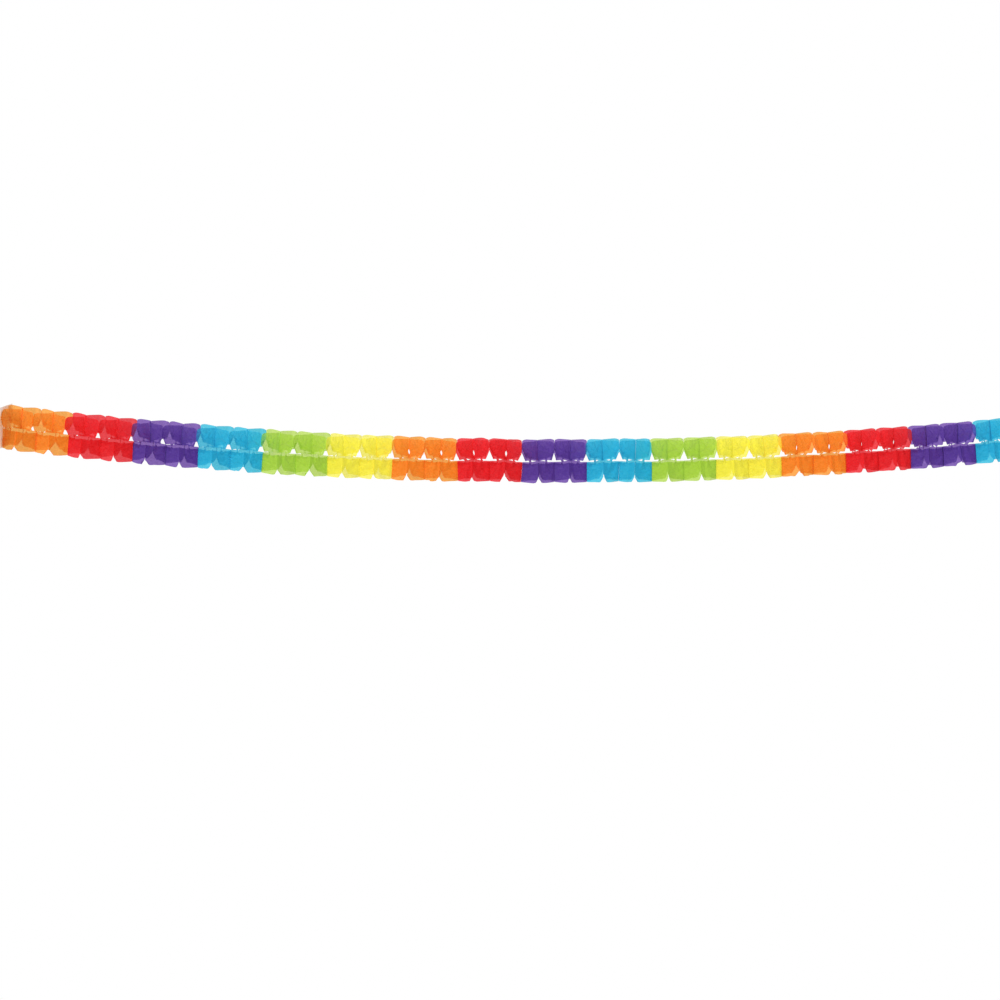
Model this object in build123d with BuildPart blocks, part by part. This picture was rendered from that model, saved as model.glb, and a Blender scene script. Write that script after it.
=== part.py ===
from build123d import *
import math
import os

# Tissue garland, drawn out and hung by its two ends. Millimetres, +X along the garland
# to the right, +Y away from the viewer, +Z up. The origin is the centre of the hang
# hole in the left end card.
# Each leaf is one sheet of tissue with three level slots: one in its middle and one cut in
# from its front and from its back edge. Two uncut bridges between them hold its upper and
# lower half together. Neighbouring leaves are glued at three places, which change from
# joint to joint:
#   petal joint, inside a pair: upper half in the middle, lower half at both edges
#   window joint, between pairs: upper half at both edges, lower half in the middle
# Drawn out, a leaf hangs in the slab between its two joints. Its upper half folds like a V
# seen from above, its lower half like a V turned over, and the bridges, where the two
# cross, are creased from one to the other.

# Garland
colours = ("orange", "red", "purple", "blue", "green", "yellow")
section_count = 16
pairs_per_section = 2
pitch = 32.4  # from joint to joint, along the garland
arc_radius = 9090.0  # of the curve that the garland's middle line hangs in
leaves_left_of_lowest = 34.5  # leaves between the left end and the curve's lowest point

# Leaf
sheet_height = 85.0
sheet_depth = 104.0  # from front to back, lying flat
paper = 0.3  # thickness along X
sheet_corner = 7.0  # cut off each corner of a leaf and of a card
glue_width = 6.0  # of the spots along the edges; the ones in the middle are twice as wide
bridge_half_width = 3.0
slot_half_height = 2.5

# Free corners: where the glue ends, the tissue swings away from the joint
window_glue_foot = 18.0  # height of the lower end of the glue along the upper edges
lower_glue_end = -32.0  # height of the lower end of the glue along the lower edges
swing = 0.6  # sideways, for each millimetre up or down

# End cards
card_thickness = 1.0
hang_hole_radius = 2.0

half_height = sheet_height / 2
flat_run = sheet_depth / 4 - glue_width  # from a bridge's middle to a glue spot, lying flat
fold = math.sqrt(flat_run**2 - (pitch / 2) ** 2)  # how deep that run is, drawn out
bridge_y = fold + glue_width  # of the back bridge's middle, drawn out
slope = (pitch / 2 - paper / 2) / fold
reach = 2 * pitch  # past every fold plane
turn = math.degrees(pitch / arc_radius)  # of the curve, from joint to joint
lean = math.tan(math.radians(turn))  # of a pair's left window joint, beside its petal joint
leaf_middle = -pitch / 2  # of a pair's left leaf; X = 0 is the pair's petal joint


def arc_point(leaves):
    """Point of the hanging curve, and its direction, leaves to the right of the lowest."""
    angle = math.radians(turn * leaves)
    point = Vector(arc_radius * math.sin(angle), 0, arc_radius * (1 - math.cos(angle)))
    return point, Vector(math.cos(angle), 0, math.sin(angle))


left_end, left_direction = arc_point(-leaves_left_of_lowest)
hang_hole = left_end - left_direction * (card_thickness / 2)


def across(leaves):
    """Plane whose x runs along the garland there and whose y points to the back."""
    point, direction = arc_point(leaves)
    return Plane(point - hang_hole, x_dir=direction, z_dir=direction.cross(Vector(0, 1, 0)))


def joint_fold(x_side, z, swing_out):
    """Plane on the left leaf's petal joint, at its right, or window joint, at its left.

    It passes through the joint at height z, and swings away from it below that height.
    """
    lean_here = 0 if x_side > 0 else lean
    point = (-(arc_radius - z) * lean_here, 0, z)
    return Plane(point, z_dir=(x_side, 0, lean_here - swing_out))


def folded(outline, folds, x_side):
    """Tissue over an outline in Y and Z, trimmed to the planes that it folds along.

    It faces +X where x_side is 1 and -X where x_side is -1. What is left of the
    trimmed block, without the same block moved in by the paper's thickness, is tissue.
    """
    with BuildPart() as block:
        with BuildSketch(Plane.YZ.offset(-reach)):
            with BuildLine():
                Polyline(*outline, close=True)
            make_face()
        extrude(amount=2 * reach)
        for fold_plane in folds:
            split(bisect_by=fold_plane, keep=Keep.BOTTOM)
    with BuildPart() as tissue:
        add(block.part)
        add(block.part.moved(Location((-x_side * paper, 0, 0))), mode=Mode.SUBTRACT)
    return tissue.part


def strip(y_side, z_side):
    """Tissue on one side of the back bridge, above or below it. The bridge is at Y = 0.

    Its y_side is 1 towards the leaf's back edge, and -1 towards the leaf's middle.
    """
    x_side = -y_side * z_side
    outline = [
        (0, z_side * slot_half_height),
        (y_side * bridge_y, z_side * slot_half_height),
    ]
    if y_side > 0:
        outline += [
            (bridge_y, z_side * (half_height - sheet_corner)),
            (bridge_y - sheet_corner, z_side * half_height),
        ]
    else:
        outline.append((-bridge_y, z_side * half_height))
    outline.append((0, z_side * half_height))
    run = Plane((leaf_middle + x_side * paper / 2, 0, 0), z_dir=(x_side, -y_side * slope, 0))
    folds = [run, joint_fold(x_side, 0, 0)]
    if y_side > 0:
        glue_limit = window_glue_foot if z_side > 0 else lower_glue_end
        folds.append(joint_fold(x_side, glue_limit, swing))
    return folded(outline, folds, x_side)


def bridge():
    """The uncut bridge, creased along one diagonal from the upper run to the lower."""
    ridge = Vector(leaf_middle + slope * bridge_half_width + paper / 2, 0, 0)
    steep = slope * bridge_half_width / slot_half_height
    outline = [
        (-bridge_half_width, -slot_half_height),
        (bridge_half_width, -slot_half_height),
        (bridge_half_width, slot_half_height),
        (-bridge_half_width, slot_half_height),
    ]
    creased = [Plane(ridge, z_dir=(1, way * slope, way * steep)) for way in (-1, 1)]
    return folded(outline, creased, 1)


def end_card(plane):
    """Stiff card at one end, standing out from the joint plane, with its hang hole."""
    with BuildPart() as card:
        with BuildSketch(plane):
            Rectangle(sheet_depth, sheet_height)
            chamfer(vertices(), length=sheet_corner)
            Circle(hang_hole_radius, mode=Mode.SUBTRACT)
        extrude(amount=card_thickness)
    return card.part


with BuildPart() as back_half:
    add(bridge())
    for inward_or_outward in (-1, 1):
        for upper_or_lower in (1, -1):
            add(strip(inward_or_outward, upper_or_lower))

with BuildPart() as left_leaf:
    add(back_half.part.moved(Location((0, bridge_y, 0))))
    mirror(about=Plane.XZ)

with BuildPart() as right_leaf:
    mirror(left_leaf.part, about=Plane.YZ)

os.makedirs("parts", exist_ok=True)

for number in range(section_count * pairs_per_section):
    colour = colours[number // pairs_per_section % len(colours)]
    seat = Location(across(1 + 2 * number - leaves_left_of_lowest))
    pair = Compound([left_leaf.part.solid().moved(seat), right_leaf.part.solid().moved(seat)])
    pair.label = f"leaf_pair_{number + 1:02d}_{colour}"
    export_step(pair, f"parts/{pair.label}.step")

leaf_count = 2 * section_count * pairs_per_section
ends = {
    "end_card_left": (-leaves_left_of_lowest, -1),
    "end_card_right": (leaf_count - leaves_left_of_lowest, 1),
}
for label, (leaves, outward) in ends.items():
    joint = across(leaves)
    card = end_card(Plane(joint.origin, x_dir=(0, 1, 0), z_dir=joint.x_dir * outward))
    card.label = label
    export_step(card, f"parts/{label}.step")
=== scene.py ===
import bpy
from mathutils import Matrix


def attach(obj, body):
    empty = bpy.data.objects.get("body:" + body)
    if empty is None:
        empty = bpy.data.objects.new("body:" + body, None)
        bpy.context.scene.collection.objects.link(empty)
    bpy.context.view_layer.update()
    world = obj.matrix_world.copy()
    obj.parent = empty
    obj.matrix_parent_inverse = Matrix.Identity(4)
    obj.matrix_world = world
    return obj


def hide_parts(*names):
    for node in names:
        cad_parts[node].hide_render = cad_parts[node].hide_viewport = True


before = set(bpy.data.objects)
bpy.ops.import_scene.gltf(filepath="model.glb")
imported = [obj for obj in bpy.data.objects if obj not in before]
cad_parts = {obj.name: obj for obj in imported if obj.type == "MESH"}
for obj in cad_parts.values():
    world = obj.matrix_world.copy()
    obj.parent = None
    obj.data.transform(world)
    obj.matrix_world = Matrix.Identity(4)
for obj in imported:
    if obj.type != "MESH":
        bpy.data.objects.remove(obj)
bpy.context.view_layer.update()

import math

import bpy
import numpy as np
from mathutils import Vector

# The garland, as part.py has it, in metres
COLOURS = ("orange", "red", "purple", "blue", "green", "yellow")
LEAVES_PER_BAND = 4
LEAF_COUNT = 64
PITCH = 0.0324
ARC_RADIUS = 9.09
LEAVES_LEFT_OF_LOWEST = 34.5
SHEET_HEIGHT = 0.085
SHEET_DEPTH = 0.104  # from front to back, lying flat
CARD_THICKNESS = 0.001

# The same, halved and in mm, for the simulation
HALF_DEPTH = SHEET_DEPTH * 500
HALF_HEIGHT = SHEET_HEIGHT * 500
HALF_PITCH = PITCH * 500

# Leaf, in mm of the flat sheet
CORNER = 18.0
BRIDGES = (0.44, 0.56)  # from where to where a bridge goes, as shares of half the depth
SLOT = 4.0  # half the height of a slot where it gapes
NARROW, WIDENS = 0.1, 2  # share of that at a slot's narrow end, and its growth from there
GLUE_WIDTH = 6.5
WINDOW_GLUE = (18.5, 36.0)  # heights of the glue along the upper edges
PETAL_GLUE = (1.5, 40.5)  # heights of the glue in the middle, above
PETAL_HOLE = (9.0, 20.0)  # where that glue misses, in some bands, and the leaves stand apart
HOLE_BANDS = ("orange", "red")
HOLE_GAPE = 2.6
HOLE_REACH = 3 * GLUE_WIDTH  # from the middle to where the leaves stop standing apart
LOWER_MIDDLE_GLUE = (5.0, 38.0)
LOWER_EDGE_GLUE = (2.0, 27.0)
GLUE_SPREAD = 1.5  # by which a spot's ends differ from joint to joint
SWING = 0.55  # of a free corner, sideways, for each mm from its glue
SWING_SPREAD = (0.6, 1.1)  # shares of it, which differ from joint to joint
SWING_CURVE = 11  # mm past the glue where a corner's curved swing equals a straight one
SWING_RAMP = 3  # how fast the swing sets in, from a bridge outwards
PAPER_GAP = 0.3  # between the sheets that are glued
JOINT_LEAN, JOINT_BOW = 0.03, 1.0  # spread of how joints lean, as a slope, and bow, in mm

# The garland hangs turned about its length: degrees, at so many leaves from its left end
TWIST_AT, TWIST = (0, 12, 22, 34, 64), (5.5, 5.0, 2.5, 0.0, 0.0)

# Simulation
CELLS_Y, CELLS_Z = 17, 14  # along half the depth, and half the height
STEPS = 200
PASSES = 12
STIFF = 0.03  # share that a spring against bending puts right at a time
SHEAR = 0.8  # the same for a spring along a cell's diagonal
DRAG = 0.9
START = 0.3  # mm, of unevenness in the flat leaves
SHAKE = 0.05  # mm
DRAWN_BY, STILL_FROM = 0.5, 0.7  # shares of the steps
SEED = 7


def flat_leaf():
    """A flat leaf's halves: y and z of each vertex, as [upper or lower, along y, away].

    The corners are rounded. A slot gapes towards the window joint, where the upper half
    has its edges and the lower half its middle.
    """
    half_y, half_z = HALF_DEPTH, HALF_HEIGHT
    y, z = np.meshgrid(
        np.linspace(-half_y, half_y, 2 * CELLS_Y + 1),
        np.linspace(0, half_z, CELLS_Z + 1),
        indexing="ij",
    )
    in_y = np.clip((np.abs(y) - half_y) / CORNER + 1, 0, 1)
    in_z = np.clip((z - half_z) / CORNER + 1, 0, 1)
    round_y = half_y - CORNER + CORNER * in_y * np.sqrt(1 - in_z**2 / 2)
    round_z = half_z - CORNER + CORNER * in_z * np.sqrt(1 - in_y**2 / 2)
    y = np.where(in_y > 0, np.sign(y) * round_y, y)
    z = np.where(in_z > 0, round_z, z)
    along = np.abs(np.arange(-CELLS_Y, CELLS_Y + 1)) / CELLS_Y
    cut = (along < BRIDGES[0]) | (along > BRIDGES[1])
    straight = half_z - CORNER
    halves = []
    for from_narrow in (along, 1 - along):
        gape = np.minimum(1, NARROW + WIDENS * from_narrow)
        slot = (SLOT * cut * gape)[:, None]
        halves.append(np.where(in_z > 0, z, slot + z * (straight - slot) / straight))
    halves[1] = -halves[1]
    return np.stack([y, y]), np.stack(halves)


def spring(flat, step_y, step_z, colour, stride, share):
    """Vertices (slices of axes 2 and 3) that are step_y, step_z apart, and their distance."""
    _, n_y, n_z = flat[0].shape
    if step_y:
        first_y = slice(colour, n_y - step_y, stride)
        then_y = slice(colour + step_y, n_y, stride)
        first_z = slice(0, n_z - abs(step_z))
        then_z = slice(abs(step_z), n_z)
        if step_z < 0:
            first_z, then_z = then_z, first_z
    else:
        first_y = then_y = slice(0, n_y)
        first_z = slice(colour, n_z - step_z, stride)
        then_z = slice(colour + step_z, n_z, stride)
    first = (slice(None), slice(None), first_y, first_z)
    then = (slice(None), slice(None), then_y, then_z)
    apart = np.hypot(*(one[then[1:]] - one[first[1:]] for one in flat))
    return first, then, apart[..., None].astype(np.float32), share


def pull(x, first, then, apart, share):
    """Moves pairs of vertices towards the distance that they have in the flat sheet."""
    gap = x[then] - x[first]
    length = np.sqrt((gap * gap).sum(0)) + 1e-6
    gap *= 0.5 * share * (1 - apart / length)
    x[first] += gap
    x[then] -= gap


def glue_and_swing(flat, rng):
    """Glue: True where a leaf is stuck to its left, or right, neighbour.

    Swing: how far a leaf's free corners keep from its left, or right, joint, in mm.
    """
    shape = flat[0].shape + (LEAF_COUNT,)
    glue = np.zeros((2,) + shape, bool)
    swing = np.zeros((2,) + shape, np.float32)
    depth, height = np.abs(flat[0]), np.abs(flat[1])
    in_middle = depth < GLUE_WIDTH
    at_edge = depth > HALF_DEPTH - GLUE_WIDTH
    outside = np.clip((depth / HALF_DEPTH - BRIDGES[1]) * SWING_RAMP, 0, 1)
    hole_low, hole_high = PETAL_HOLE
    for joint in range(LEAF_COUNT + 1):
        window = joint % 2 == 0
        band = COLOURS[min(joint, LEAF_COUNT - 1) // LEAVES_PER_BAND % len(COLOURS)]
        for lower in (0, 1):
            edges = window != bool(lower)
            if lower:
                ends = LOWER_EDGE_GLUE if edges else LOWER_MIDDLE_GLUE
            else:
                ends = WINDOW_GLUE if edges else PETAL_GLUE
            low, high = ends + rng.uniform(-GLUE_SPREAD, GLUE_SPREAD, 2)
            tall = height[lower]
            spot = (at_edge if edges else in_middle)[lower] & (tall > low) & (tall < high)
            away = SWING * rng.uniform(*SWING_SPREAD, 2)
            free = np.zeros_like(tall)
            if edges:
                past = np.clip(tall - high, 0, None)
                free = outside[lower] * away[1] * past**2 / SWING_CURVE
            if edges and not lower:
                free += outside[0] * away[0] * np.clip(low - tall, 0, None)
            if band in HOLE_BANDS and not edges and not lower:
                spot &= (tall < hole_low) | (tall > hole_high)
                up = np.clip((tall - hole_low) / (hole_high - hole_low), 0, 1)
                gape = HOLE_GAPE * away[0] / SWING * np.sin(math.pi * up)
                free = gape * (depth[0] < HOLE_REACH)
            for side, leaf in ((1, joint - 1), (0, joint)):
                if 0 <= leaf < LEAF_COUNT:
                    glue[side, lower, :, :, leaf] = spot
                    swing[side, lower, :, :, leaf] = free
    return glue, swing


def folded_leaves(flat):
    """Vertices of all leaves, as [x y z, upper or lower, along y, away from slot, leaf].

    Each is in mm from the middle of its leaf, on a straight garland. Leaf 0 has a window
    joint at its left and a petal joint at its right, and they alternate from there.
    """
    rng = np.random.RandomState(SEED)
    x = np.zeros((3,) + flat[0].shape + (LEAF_COUNT,), np.float32)
    x[1:] = np.stack(flat)[..., None]
    x[0] = rng.randn(*x[0].shape) * START
    speed = np.zeros_like(x)

    springs = []
    for colour in (0, 1):
        springs.append(spring(flat, 1, 0, colour, 2, 1))
        springs.append(spring(flat, 0, 1, colour, 2, 1))
        springs.append(spring(flat, 1, 1, colour, 2, SHEAR))
        springs.append(spring(flat, 1, -1, colour, 2, SHEAR))
    springs.append(spring(flat, 2, 0, 0, 1, STIFF))
    springs.append(spring(flat, 0, 2, 0, 1, STIFF))
    uncut = uncut_columns(1)
    across_bridge = (flat[1][0, uncut, 1] - flat[1][1, uncut, 1])[:, None]
    glue, swing = glue_and_swing(flat, rng)

    spread = [[JOINT_LEAN], [JOINT_LEAN], [JOINT_BOW]]
    lean_y, lean_z, bow = rng.randn(3, LEAF_COUNT + 1) * spread

    def joint_at(joint, y, z):
        """How far joints stand to the right of their places, at y and z."""
        bowed = bow[joint] * ((y / HALF_HEIGHT) ** 2 + (z / HALF_HEIGHT) ** 2 - 0.5)
        return (lean_y[joint] * y + lean_z[joint] * z + bowed).astype(np.float32)

    joints_left = np.arange(LEAF_COUNT)
    pairs = ((slice(0, None, 2), slice(1, None, 2)), (slice(1, -1, 2), slice(2, None, 2)))
    for step in range(STEPS):
        drawn = min(1, (step + 1) / (STEPS * DRAWN_BY))
        reach = drawn * (HALF_PITCH - PAPER_GAP / 2)
        before = x.copy()
        x += DRAG * speed
        if step < STILL_FROM * STEPS:
            shake = SHAKE * (1 - step / (STILL_FROM * STEPS))
            x += (rng.randn(*x.shape) * shake).astype(np.float32)
        left = joint_at(joints_left, x[1], x[2]) - reach
        right = joint_at(joints_left + 1, x[1], x[2]) + reach
        for _ in range(PASSES):
            for one in springs:
                pull(x, *one)
            weld = 0.5 * (x[:, 0, uncut, 0] + x[:, 1, uncut, 0])
            x[:, 0, uncut, 0] = weld
            x[:, 1, uncut, 0] = weld
            gap = x[:, 0, uncut, 1] - x[:, 1, uncut, 1]
            length = np.sqrt((gap * gap).sum(0)) + 1e-6
            gap *= 0.5 * STIFF * (1 - across_bridge / length)
            x[:, 0, uncut, 1] -= gap
            x[:, 1, uncut, 1] += gap
            np.clip(x[0], left + drawn * swing[0], right - drawn * swing[1], out=x[0])
            np.copyto(x[0], left, where=glue[0])
            np.copyto(x[0], right, where=glue[1])
            for ones, others in pairs:
                apart = x[1:, ..., others] - x[1:, ..., ones]
                apart *= 0.5 * glue[0][..., others]
                x[1:, ..., ones] += apart
                x[1:, ..., others] -= apart
        speed = x - before
    return x


def uncut_columns(finer):
    """Numbers of the columns of vertices that run on through a bridge."""
    along = np.abs(np.arange(-CELLS_Y * finer, CELLS_Y * finer + 1)) / (CELLS_Y * finer)
    return np.flatnonzero((along > BRIDGES[0]) & (along < BRIDGES[1]))


def between(x, axis):
    """x with a vertex more between each two along an axis, on a cubic through four."""
    x = np.moveaxis(x, axis, 0)
    ends = np.concatenate([2 * x[:1] - x[1:2], x, 2 * x[-1:] - x[-2:-1]])
    middle = (9 * (ends[1:-2] + ends[2:-1]) - ends[:-3] - ends[3:]) / 16
    finer = np.empty((2 * len(x) - 1,) + x.shape[1:], x.dtype)
    finer[0::2] = x
    finer[1::2] = middle
    return np.moveaxis(finer, 0, axis)


def on_curve(x, leaf):
    """Puts vertices of a leaf, in mm from its middle, on the garland's hanging curve."""
    along = leaf + 0.5 + x[0] * 0.001 / PITCH
    angle = (along - LEAVES_LEFT_OF_LOWEST) * PITCH / ARC_RADIUS
    twist = np.radians(np.interp(along, TWIST_AT, TWIST))
    back = (x[1] * np.cos(twist) - x[2] * np.sin(twist)) * 0.001
    up = (x[1] * np.sin(twist) + x[2] * np.cos(twist)) * 0.001
    radius = ARC_RADIUS - up
    end = -LEAVES_LEFT_OF_LOWEST * PITCH / ARC_RADIUS
    hole_x = ARC_RADIUS * math.sin(end) - math.cos(end) * CARD_THICKNESS / 2
    hole_z = ARC_RADIUS * (1 - math.cos(end)) - math.sin(end) * CARD_THICKNESS / 2
    return np.stack(
        [
            radius * np.sin(angle) - hole_x,
            back,
            ARC_RADIUS - radius * np.cos(angle) - hole_z,
        ],
        -1,
    )


# Camera at the photograph's angle. It stands before the photograph's column 600, and is
# shifted rather than turned, because the bands keep an even width to the left edge.
CAMERA_DISTANCE = 4.2
CAMERA_ELEVATION = 8.0
CAMERA_X = 1.198
FRAME_WIDTH = 1.988
FRAME_CENTRE = Vector((0.992, 0, -0.148))

scene = bpy.context.scene
scene.view_settings.view_transform = "Standard"
camera_data = bpy.data.cameras.new("camera")
camera_data.sensor_width = 36
camera_data.lens = 36 * CAMERA_DISTANCE / FRAME_WIDTH
camera_data.clip_end = 100
camera = bpy.data.objects.new("camera", camera_data)
height = CAMERA_DISTANCE * math.tan(math.radians(CAMERA_ELEVATION))
camera.location = (CAMERA_X, -CAMERA_DISTANCE, FRAME_CENTRE.z + height)
camera.rotation_mode = "QUATERNION"
aim = Vector((CAMERA_X, FRAME_CENTRE.y, FRAME_CENTRE.z))
camera.rotation_quaternion = (aim - camera.location).to_track_quat("-Z", "Y")
camera_data.shift_x = (FRAME_CENTRE.x - CAMERA_X) / FRAME_WIDTH
scene.collection.objects.link(camera)
scene.camera = camera


def node(tree, kind, inputs=None, **settings):
    """A new shader node with its settings and inputs; an input is a value or a socket."""
    made = tree.nodes.new(kind)
    for name, value in settings.items():
        setattr(made, name, value)
    for name, value in (inputs or {}).items():
        if isinstance(value, bpy.types.NodeSocket):
            tree.links.new(value, made.inputs[name])
        else:
            made.inputs[name].default_value = value
    return made


def seen_directly(tree):
    """1 for camera, glossy and transmission rays, and 0 for those that light things."""
    rays = node(tree, "ShaderNodeLightPath")
    either = node(
        tree,
        "ShaderNodeMath",
        {0: rays.outputs["Is Camera Ray"], 1: rays.outputs["Is Glossy Ray"]},
        operation="MAXIMUM",
    )
    any_of_three = node(
        tree,
        "ShaderNodeMath",
        {0: either.outputs[0], 1: rays.outputs["Is Transmission Ray"]},
        operation="MAXIMUM",
    )
    return any_of_three.outputs[0]


# Light: a key from the front left and above, and a white surround
world = bpy.data.worlds.new("surround")
scene.world = world
world.use_nodes = True
tree = world.node_tree
tree.nodes.clear()
fill = node(tree, "ShaderNodeBackground", {"Color": (1, 1, 1, 1), "Strength": 0.75})
white = node(tree, "ShaderNodeBackground", {"Color": (1, 1, 1, 1), "Strength": 1.0})
mixed = node(
    tree,
    "ShaderNodeMixShader",
    {0: seen_directly(tree), 1: fill.outputs[0], 2: white.outputs[0]},
)
node(tree, "ShaderNodeOutputWorld", {"Surface": mixed.outputs[0]})

key_data = bpy.data.lights.new("key", "SUN")
key_data.energy = 3.4
key_data.angle = math.radians(6)
key = bpy.data.objects.new("key", key_data)
key.rotation_mode = "QUATERNION"
key.rotation_quaternion = Vector((0.9, 1.0, -0.9)).to_track_quat("-Z", "Y")
scene.collection.objects.link(key)

# Floor, white like the surround
FLOOR_Z = -1.3
floor_mesh = bpy.data.meshes.new("floor")
floor_mesh.from_pydata(
    [(-15, -15, FLOOR_Z), (17, -15, FLOOR_Z), (17, 15, FLOOR_Z), (-15, 15, FLOOR_Z)],
    [],
    [(0, 1, 2, 3)],
)
floor = bpy.data.objects.new("floor", floor_mesh)
scene.collection.objects.link(floor)
floor_material = bpy.data.materials.new("pale_floor")
floor_material.use_nodes = True
tree = floor_material.node_tree
tree.nodes.clear()
lit = node(tree, "ShaderNodeBsdfDiffuse", {"Color": (0.8, 0.8, 0.8, 1)})
glow = node(tree, "ShaderNodeEmission", {"Color": (1, 1, 1, 1), "Strength": 1.0})
clear = node(tree, "ShaderNodeBsdfTransparent")
above = node(
    tree, "ShaderNodeMixShader", {0: seen_directly(tree), 1: lit.outputs[0], 2: glow.outputs[0]}
)
below = node(tree, "ShaderNodeNewGeometry").outputs["Backfacing"]
whole = node(
    tree, "ShaderNodeMixShader", {0: below, 1: above.outputs[0], 2: clear.outputs[0]}
)
node(tree, "ShaderNodeOutputMaterial", {"Surface": whole.outputs[0]})
floor_mesh.materials.append(floor_material)


def linear(r, g, b):
    """An sRGB colour, 0 to 255, as the linear one that a shader takes."""

    def one(c):
        c /= 255
        return c / 12.92 if c < 0.04045 else ((c + 0.055) / 1.055) ** 2.4

    return (one(r), one(g), one(b), 1)


# Tissue of each colour, as it throws light back, and as white light looks that comes
# through one layer. Two layers of it look much deeper than one.
TISSUE = {
    "orange": ((255, 136, 0), (255, 190, 95)),
    "red": ((240, 6, 26), (248, 80, 88)),
    "purple": ((88, 50, 158), (150, 114, 198)),
    "blue": ((0, 184, 226), (98, 216, 238)),
    "green": ((168, 214, 20), (216, 238, 140)),
    "yellow": ((255, 244, 0), (255, 250, 145)),
}
LET_THROUGH = 0.6  # share of the light that a leaf scatters and lets through
SEEN_THROUGH = 0.5  # share of the light that comes straight through a leaf
MOTTLE_DEEP, MOTTLE_PALE = 0.9, 0.06  # share left of a colour, and share of white added


def tissue(name, thrown_back, let_through):
    """Thin tissue: mottled by its fibres, softly crumpled, and light comes through it."""
    material = bpy.data.materials.new("tissue_" + name)
    material.use_nodes = True
    tree = material.node_tree
    tree.nodes.clear()
    sheet = node(tree, "ShaderNodeUVMap", uv_map="sheet").outputs["UV"]
    cloud = node(
        tree,
        "ShaderNodeTexNoise",
        {"Vector": sheet, "Scale": 26, "Detail": 6, "Roughness": 0.7},
    )
    stretch = node(tree, "ShaderNodeMapping", {"Vector": sheet, "Scale": (30, 110, 1)})
    fibres = node(
        tree,
        "ShaderNodeTexNoise",
        {
            "Vector": stretch.outputs[0],
            "Scale": 1,
            "Detail": 3,
            "Roughness": 0.6,
            "Distortion": 0.6,
        },
    )
    both = node(
        tree,
        "ShaderNodeMath",
        {0: cloud.outputs["Fac"], 1: fibres.outputs["Fac"]},
        operation="ADD",
    )
    mottle = node(
        tree,
        "ShaderNodeMapRange",
        {"Value": both.outputs[0], "From Min": 0.75, "From Max": 1.25, "To Min": 0, "To Max": 1},
    )
    colours = []
    for rgb in (thrown_back, let_through):
        colour = linear(*rgb)
        pale = [c + (1 - c) * MOTTLE_PALE for c in colour[:3]] + [1]
        deep = [c * MOTTLE_DEEP for c in colour[:3]] + [1]
        ramp = node(tree, "ShaderNodeValToRGB", {"Fac": mottle.outputs[0]})
        ramp.color_ramp.elements[0].color = deep
        ramp.color_ramp.elements[1].color = pale
        colours.append(ramp.outputs["Color"])
    crumple = node(
        tree,
        "ShaderNodeTexNoise",
        {"Vector": sheet, "Scale": 5, "Detail": 2, "Roughness": 0.5, "Distortion": 1.5},
    )
    creased = node(
        tree,
        "ShaderNodeBump",
        {"Height": crumple.outputs["Fac"], "Strength": 0.7, "Distance": 0.012},
    )
    bump = node(
        tree,
        "ShaderNodeBump",
        {
            "Height": both.outputs[0],
            "Strength": 0.35,
            "Distance": 0.0006,
            "Normal": creased.outputs[0],
        },
    )
    face = node(
        tree,
        "ShaderNodeBsdfPrincipled",
        {
            "Base Color": colours[0],
            "Roughness": 0.75,
            "Specular IOR Level": 0.12,
            "Sheen Weight": 0.06,
            "Normal": bump.outputs[0],
        },
    )
    through = node(
        tree, "ShaderNodeBsdfTranslucent", {"Color": colours[1], "Normal": bump.outputs[0]}
    )
    mix = node(
        tree, "ShaderNodeMixShader", {0: LET_THROUGH, 1: face.outputs[0], 2: through.outputs[0]}
    )
    clear = node(tree, "ShaderNodeBsdfTransparent", {"Color": colours[1]})
    whole = node(
        tree, "ShaderNodeMixShader", {0: SEEN_THROUGH, 1: mix.outputs[0], 2: clear.outputs[0]}
    )
    node(tree, "ShaderNodeOutputMaterial", {"Surface": whole.outputs[0]})
    return material


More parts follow.
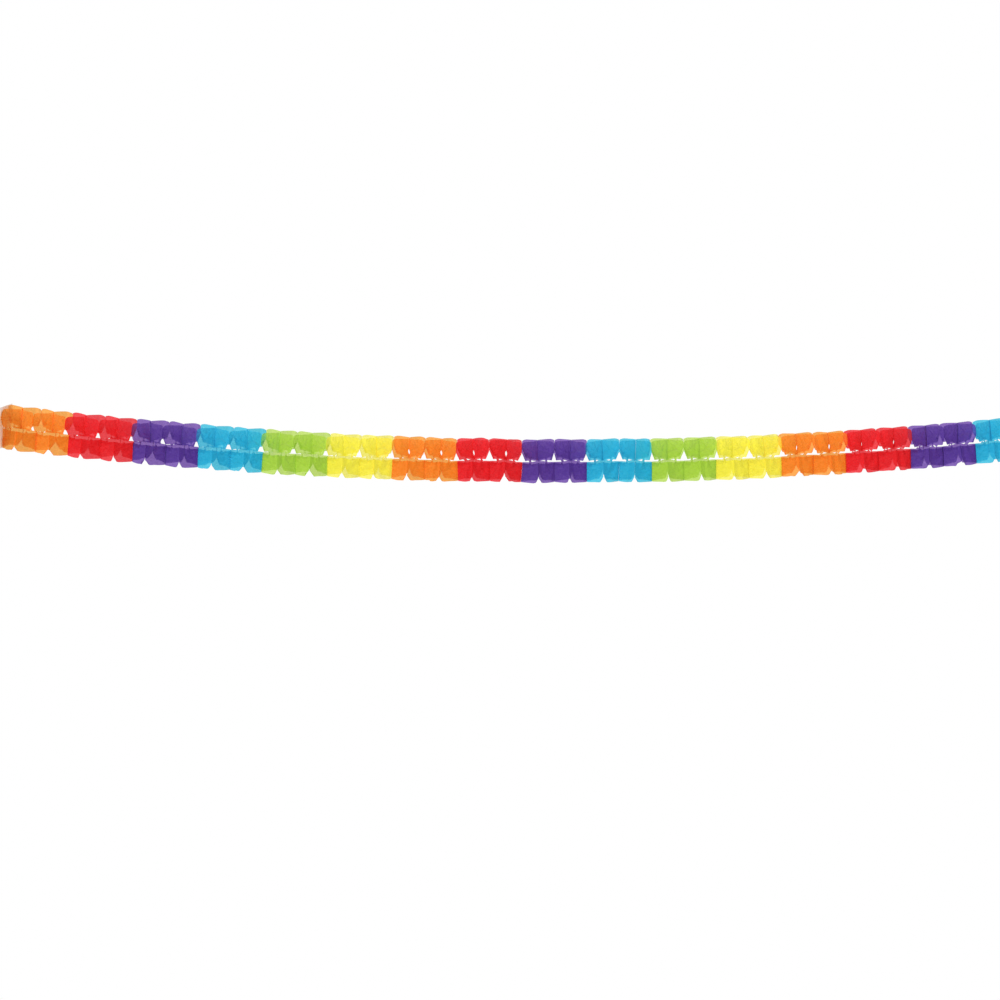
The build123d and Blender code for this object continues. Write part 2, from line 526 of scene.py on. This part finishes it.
def board():
    """Pale uncoated board of the end cards, with flecks of grey fibre."""
    material = bpy.data.materials.new("end_board")
    material.use_nodes = True
    tree = material.node_tree
    tree.nodes.clear()
    place = node(tree, "ShaderNodeTexCoord").outputs["Object"]
    pulp = node(
        tree, "ShaderNodeTexNoise", {"Vector": place, "Scale": 240, "Detail": 5, "Roughness": 0.65}
    )
    flecks = node(
        tree, "ShaderNodeTexNoise", {"Vector": place, "Scale": 900, "Detail": 2, "Roughness": 0.5}
    )
    both = node(
        tree,
        "ShaderNodeMath",
        {0: pulp.outputs["Fac"], 1: flecks.outputs["Fac"]},
        operation="ADD",
    )
    ramp = node(tree, "ShaderNodeValToRGB")
    share = node(
        tree,
        "ShaderNodeMapRange",
        {"Value": both.outputs[0], "From Min": 0.7, "From Max": 1.3},
    )
    tree.links.new(share.outputs[0], ramp.inputs["Fac"])
    ramp.color_ramp.elements[0].color = linear(232, 229, 222)
    ramp.color_ramp.elements[1].color = linear(250, 248, 243)
    bump = node(
        tree, "ShaderNodeBump", {"Height": both.outputs[0], "Strength": 0.3, "Distance": 0.0004}
    )
    face = node(
        tree,
        "ShaderNodeBsdfPrincipled",
        {
            "Base Color": ramp.outputs["Color"],
            "Roughness": 0.85,
            "Specular IOR Level": 0.3,
            "Normal": bump.outputs[0],
        },
    )
    node(tree, "ShaderNodeOutputMaterial", {"Surface": face.outputs[0]})
    return material


materials = {name: tissue(name, *TISSUE[name]) for name in COLOURS}
card_material = board()
for card in ("end_card_left", "end_card_right"):
    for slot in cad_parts[card].material_slots:
        slot.material = card_material

flat = flat_leaf()
folded = between(between(folded_leaves(flat), 2), 3)
flat = between(between(np.stack(flat), 2), 3)
_, _, n_y, n_z = flat.shape
number = np.arange(2 * n_y * n_z).reshape(2, n_y, n_z)
uncut = uncut_columns(2)
number[1, uncut, 0] = number[0, uncut, 0]
quads = np.concatenate(
    [
        np.stack([n[:-1, :-1], n[1:, :-1], n[1:, 1:], n[:-1, 1:]], -1).reshape(-1, 4)[:, ::way]
        for n, way in zip(number, (1, -1))
    ]
)
used, packed = np.unique(quads, return_inverse=True)
quads = packed.reshape(-1, 4)
sheet_place = flat.reshape(2, -1).T[used] / (SHEET_DEPTH * 1000) + 0.5

for leaf in range(LEAF_COUNT):
    colour = COLOURS[leaf // LEAVES_PER_BAND % len(COLOURS)]
    name = f"leaf_{leaf + 1:02d}_{colour}"
    one = folded[..., leaf]
    weld = 0.5 * (one[:, 0, uncut, 0] + one[:, 1, uncut, 0])
    one[:, 0, uncut, 0] = weld
    points = on_curve(one, leaf).reshape(-1, 3)[used]
    mesh = bpy.data.meshes.new(name)
    mesh.from_pydata(points.tolist(), [], quads.tolist())
    mesh.polygons.foreach_set("use_smooth", [True] * len(quads))
    layer = mesh.uv_layers.new(name="sheet")
    layer.data.foreach_set("uv", sheet_place[quads.ravel()].ravel())
    mesh.materials.append(materials[colour])
    mesh.update()
    piece = bpy.data.objects.new(name, mesh)
    scene.collection.objects.link(piece)
    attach(piece, "root")
    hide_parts(f"leaf_pair_{leaf // 2 + 1:02d}_{colour}")

bpy.context.view_layer.update()
